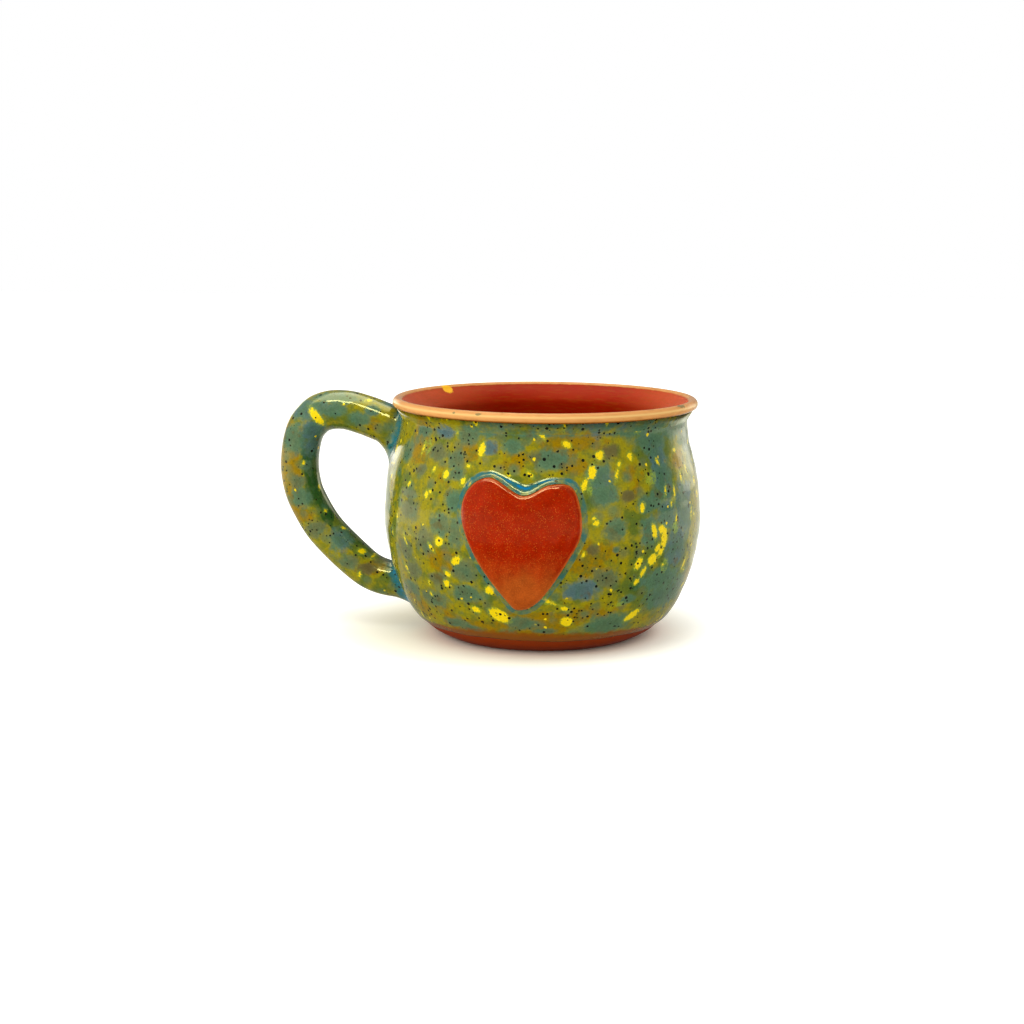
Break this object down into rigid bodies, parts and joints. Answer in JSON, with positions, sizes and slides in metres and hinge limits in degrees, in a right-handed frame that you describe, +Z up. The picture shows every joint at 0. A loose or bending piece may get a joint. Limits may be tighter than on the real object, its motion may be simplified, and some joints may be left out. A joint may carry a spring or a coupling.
{
  "type": "mug",
  "caption": "Hand-thrown stoneware mug with a rounded belly, rolled rim, ear-shaped grip and an applied heart on the front.",
  "frame": {"origin": "centre of the foot's ring, on the table, on the cup's own axis", "axes": "+Z up along the cup's axis, -X out along the grip, -Y out through the middle of the heart"},
  "size_m": [0.1426, 0.1077, 0.0799],
  "materials": {
    "red_clay": "fired bare clay, satin",
    "slip": "fired slip, matt",
    "heart_clay": "fired clay slab",
    "mottled_glaze": "glossy, mottled blue-green on amber with yellow flakes and dark specks",
    "lining_glaze": "glossy red-brown, breaking to tan on the rim",
    "heart_glaze": "glossy red-orange with a fine sparkle"
  },
  "bodies": {
    "root": {"cup_body": "red_clay", "handle": "red_clay", "upper_joint_coil": "red_clay", "lower_joint_coil": "red_clay", "upper_joint_slip": "slip", "lower_joint_slip": "slip", "heart": "heart_clay", "heart_slip": "slip", "body_glaze": "mottled_glaze", "handle_glaze": "mottled_glaze", "lining_glaze": "lining_glaze", "heart_glaze": "heart_glaze"}
  },
  "joints": []
}
